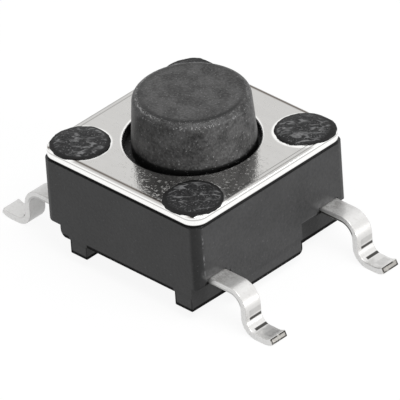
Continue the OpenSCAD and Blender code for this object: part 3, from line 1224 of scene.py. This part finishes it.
@dataclass
class PushButton:
    """Turned form of the moulded button: nub, flange and drafted stem, a little to one side in its hole."""

    datum: Datum
    nub_radius: float = 0.75
    flange_top_z: float = 3.18
    flange_thickness: float = 0.6
    stem_radius: float = 1.77
    draft: float = 4.0
    edge_radius: float = 0.2
    rings: int = 6
    finish: ButtonResin = field(default_factory=ButtonResin)

    def build(self) -> None:
        """Moulds the button and dresses it."""
        d = self.datum
        stem_height = d.stem_high - self.edge_radius - d.plate_high
        slope = math.tan(math.radians(self.draft))
        rises = [stem_height * i / self.rings for i in range(self.rings)]
        wall = [(self.stem_radius - slope * rise, d.plate_high + rise) for rise in rises]
        flat = self.stem_radius - slope * stem_height - self.edge_radius
        rim = arc(flat, d.stem_high - self.edge_radius, self.edge_radius, 0, 90, 10)
        top = [(flat * (1 - i / self.rings), d.stem_high) for i in range(1, self.rings + 1)]
        under = self.flange_top_z - self.flange_thickness
        profile = [(0.0, d.nub_low), (self.nub_radius, d.nub_low), (self.nub_radius, under),
                   (d.flange_radius, under), (d.flange_radius, self.flange_top_z),
                   (self.stem_radius, self.flange_top_z), *wall, *rim, *top]
        button = Blank.turned(profile, 160).smooth(30).shift(*self.finish.centre)
        button.piece("button_moulding", self.finish, "button", "plunger", "plunger_plastic")


@dataclass
class ContactDome:
    """Thin snap dome that stands on the lead frame's arms under the button."""

    datum: Datum
    thickness: float = 0.06
    edge_angle: float = 0.2
    finish: SpringSteel = field(default_factory=SpringSteel)

    def build(self) -> None:
        """Presses the dome and dresses it."""
        d = self.datum
        rise = d.dome_high - d.dome_low - self.thickness
        radius = (d.dome_radius ** 2 + rise ** 2) / (2 * rise)
        spread = math.degrees(math.asin(d.dome_radius / radius)) - self.edge_angle
        centre = d.dome_low + rise - radius
        inner = arc(0, centre, radius, 90, 90 - spread, 16)
        outer = arc(0, centre, radius + self.thickness, 90 - spread, 90, 16)
        dome = Blank.turned([(0.0, inner[0][1]), *inner[1:], *outer[:-1], (0.0, outer[-1][1])], 96).smooth(40)
        made = dome.piece("contact_dome", self.finish, "housing", "snap_dome", "dome_steel")
        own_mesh(made)


@dataclass
class LeadFrame:
    """Formed sheet with two gull-wing terminals and its contacts in the chamber."""

    datum: Datum
    side: TerminalSide
    width: float = 0.63
    thickness: float = 0.2
    exit_run: float = 0.7
    shoulder_radius: float = 0.5
    heel_radius: float = 0.42
    sole: float = 0.3
    toe_radius: float = 0.5
    toe_length: float = 0.1
    arm_offset: float = 1.85
    arm_width: float = 0.5
    arm_overrun: float = 0.5
    tongue_width: float = 0.7
    pad_radius: float = 0.6
    edge: float = 0.03
    bend_facets: int = 14
    toe_facets: int = 6
    finish: TerminalPlating = field(default_factory=TerminalPlating)

    def _formed(self) -> list[Pair]:
        """Side outline of a terminal, from inside the housing to its tip and back."""
        d, half, bend = self.datum, self.thickness / 2, self.bend_facets
        middle, toe_end = d.dome_low - half, 270 + TOE_ANGLE
        shoulder = (d.half_side + self.exit_run, middle - self.shoulder_radius)
        heel = (shoulder[0] + self.shoulder_radius + self.heel_radius, half + self.heel_radius)
        toe = (heel[0] + self.sole, half + self.toe_radius)
        tilt = math.radians(TOE_ANGLE)
        run = (self.toe_length * math.cos(tilt), self.toe_length * math.sin(tilt))
        inside = d.half_side - 2 * self.thickness
        upper = (arc(*shoulder, self.shoulder_radius + half, 90, 0, bend)
                 + arc(*heel, self.heel_radius - half, 180, 270, bend)
                 + arc(*toe, self.toe_radius - half, 270, toe_end, self.toe_facets))
        lower = (arc(*toe, self.toe_radius + half, toe_end, 270, self.toe_facets)
                 + arc(*heel, self.heel_radius + half, 270, 180, bend)
                 + arc(*shoulder, self.shoulder_radius - half, 0, 90, bend))
        tips = [(p[0] + run[0], p[1] + run[1]) for p in (upper[-1], lower[0])]
        return [(inside, d.dome_low), *upper, *tips, *lower, (inside, middle - half)]

    def _inner(self) -> list[list[Pair]]:
        """Outlines of the strip and of what reaches into the chamber."""
        reach, y, half = self.datum.half_side - self.thickness, STRIP_Y * self.side.value, self.width / 2
        strip = rectangle(-reach, y - half, reach, y + half)
        if self.side is TerminalSide.COMMON:
            arms = [rectangle(x - self.arm_width / 2, y, x + self.arm_width / 2, self.arm_overrun)
                    for x in (-self.arm_offset, self.arm_offset)]
            return [strip, *arms]
        tongue = rectangle(-self.tongue_width / 2, 0, self.tongue_width / 2, y)
        return [strip, tongue, circle(self.pad_radius, 48)]

    def build(self) -> None:
        """Stamps, forms and plates the frame."""
        top, y, half = self.datum.dome_low, STRIP_Y * self.side.value, self.width / 2
        leg = Blank.prism(self._formed(), y - half, y + half, lying=True)
        leg.clean().round_all(self.edge, 3, 40)
        other = leg.mirrored()
        sheets = [Blank.prism(outline, top - self.thickness, top) for outline in self._inner()]
        whole = leg.join(*sheets).join(other).smooth(40).weigh()
        name = self.side.name.lower()
        whole.piece(f"{name}_terminals", self.finish, "housing", f"{name}_leadframe", "plated_terminal")


@dataclass(frozen=True)
class Lamp:
    """A soft round lamp that faces the switch."""

    name: str
    place: Triple
    size: float
    level: float

    def hang(self) -> None:
        """Hangs the lamp, at a power that gives its level of light on a surface that faces it."""
        spot = Vector(self.place) * MM
        data = bpy.data.lights.new(self.name, "AREA")
        data.shape = "DISK"
        data.size = self.size * MM
        data.energy = self.level * math.pi ** 2 * spot.length_squared
        lamp = put(self.name, data)
        lamp.location = spot
        lamp.rotation_euler = spot.to_track_quat("Z", "Y").to_euler()
        lamp.visible_camera = False


@dataclass
class Studio:
    """White table, white surroundings, soft lamps and the camera."""

    azimuth: float = 46.138
    elevation: float = 33.576
    roll: float = -4.012
    distance: float = 268.59
    aim_right: float = 0.025
    aim_up: float = 1.065
    aim_rise: float = 0.102
    lens: float = 863.26
    sensor: float = 36.0
    floor_half: float = 150.0
    sky_level: float = 0.42
    lamps: tuple[Lamp, ...] = (Lamp("overhead_lamp", (60.0, -10.0, 120.0), 90.0, 0.5),
                               Lamp("side_lamp", (132.0, 40.0, 18.0), 34.0, 0.45))

    def _table(self) -> None:
        """Lays the table under the soles."""
        half = self.floor_half * MM
        mesh = bpy.data.meshes.new("table")
        mesh.from_pydata([(x, y, 0.0) for x, y in rectangle(-half, -half, half, half)], [], [[0, 1, 2, 3]])
        mesh.materials.append(StudioFloor().material())
        put("table", mesh)

    def _surroundings(self) -> None:
        """Makes the world white to the camera and in gloss, and a plain level of light elsewhere."""
        world = bpy.data.worlds.new("surroundings")
        world.use_nodes = True
        bpy.context.scene.world = world
        recipe = Recipe(world.node_tree)
        level = self.sky_level + recipe.seen() * (1 - self.sky_level)
        sky = recipe.node("ShaderNodeBackground", None, {"Color": (*WHITE, 1.0), "Strength": level})
        recipe.close(sky, "ShaderNodeOutputWorld")

    def _camera(self) -> None:
        """Sets the camera up at the picture's angle."""
        around, above, turn = (math.radians(a) for a in (self.azimuth, self.elevation, self.roll))
        back = Vector((math.sin(around) * math.cos(above), -math.cos(around) * math.cos(above), math.sin(above)))
        level = Vector((0, 0, 1)).cross(back).normalized()
        upright = back.cross(level)
        right = math.cos(turn) * level + math.sin(turn) * upright
        up = math.cos(turn) * upright - math.sin(turn) * level
        aim = right * self.aim_right + up * self.aim_up + Vector((0, 0, self.aim_rise))
        data = bpy.data.cameras.new("camera")
        data.lens = self.lens
        data.sensor_width = self.sensor
        data.clip_start = 0.01
        data.clip_end = 2.0
        camera = put("camera", data)
        turned = Matrix((right, up, back)).transposed().to_4x4()
        camera.matrix_world = Matrix.Translation((aim + back * self.distance) * MM) @ turned
        bpy.context.scene.camera = camera

    def build(self) -> None:
        """Sets up the whole studio."""
        self._camera()
        self._table()
        self._surroundings()
        for lamp in self.lamps:
            lamp.hang()
        bpy.context.scene.view_settings.view_transform = "Standard"
        LOG.info("studio: camera, table, surroundings and %d lamps", len(self.lamps))


def main() -> None:
    """Builds the switch and its studio."""
    logging.basicConfig(level=logging.INFO, format="%(name)s: %(message)s")
    datum = Datum.measure()
    Studio().build()
    for assembly in (Housing, StakedHeads, CoverPlate, PushButton, ContactDome):
        assembly(datum).build()
    for side in TerminalSide:
        LeadFrame(datum, side).build()


if __name__ == "__main__":
    main()
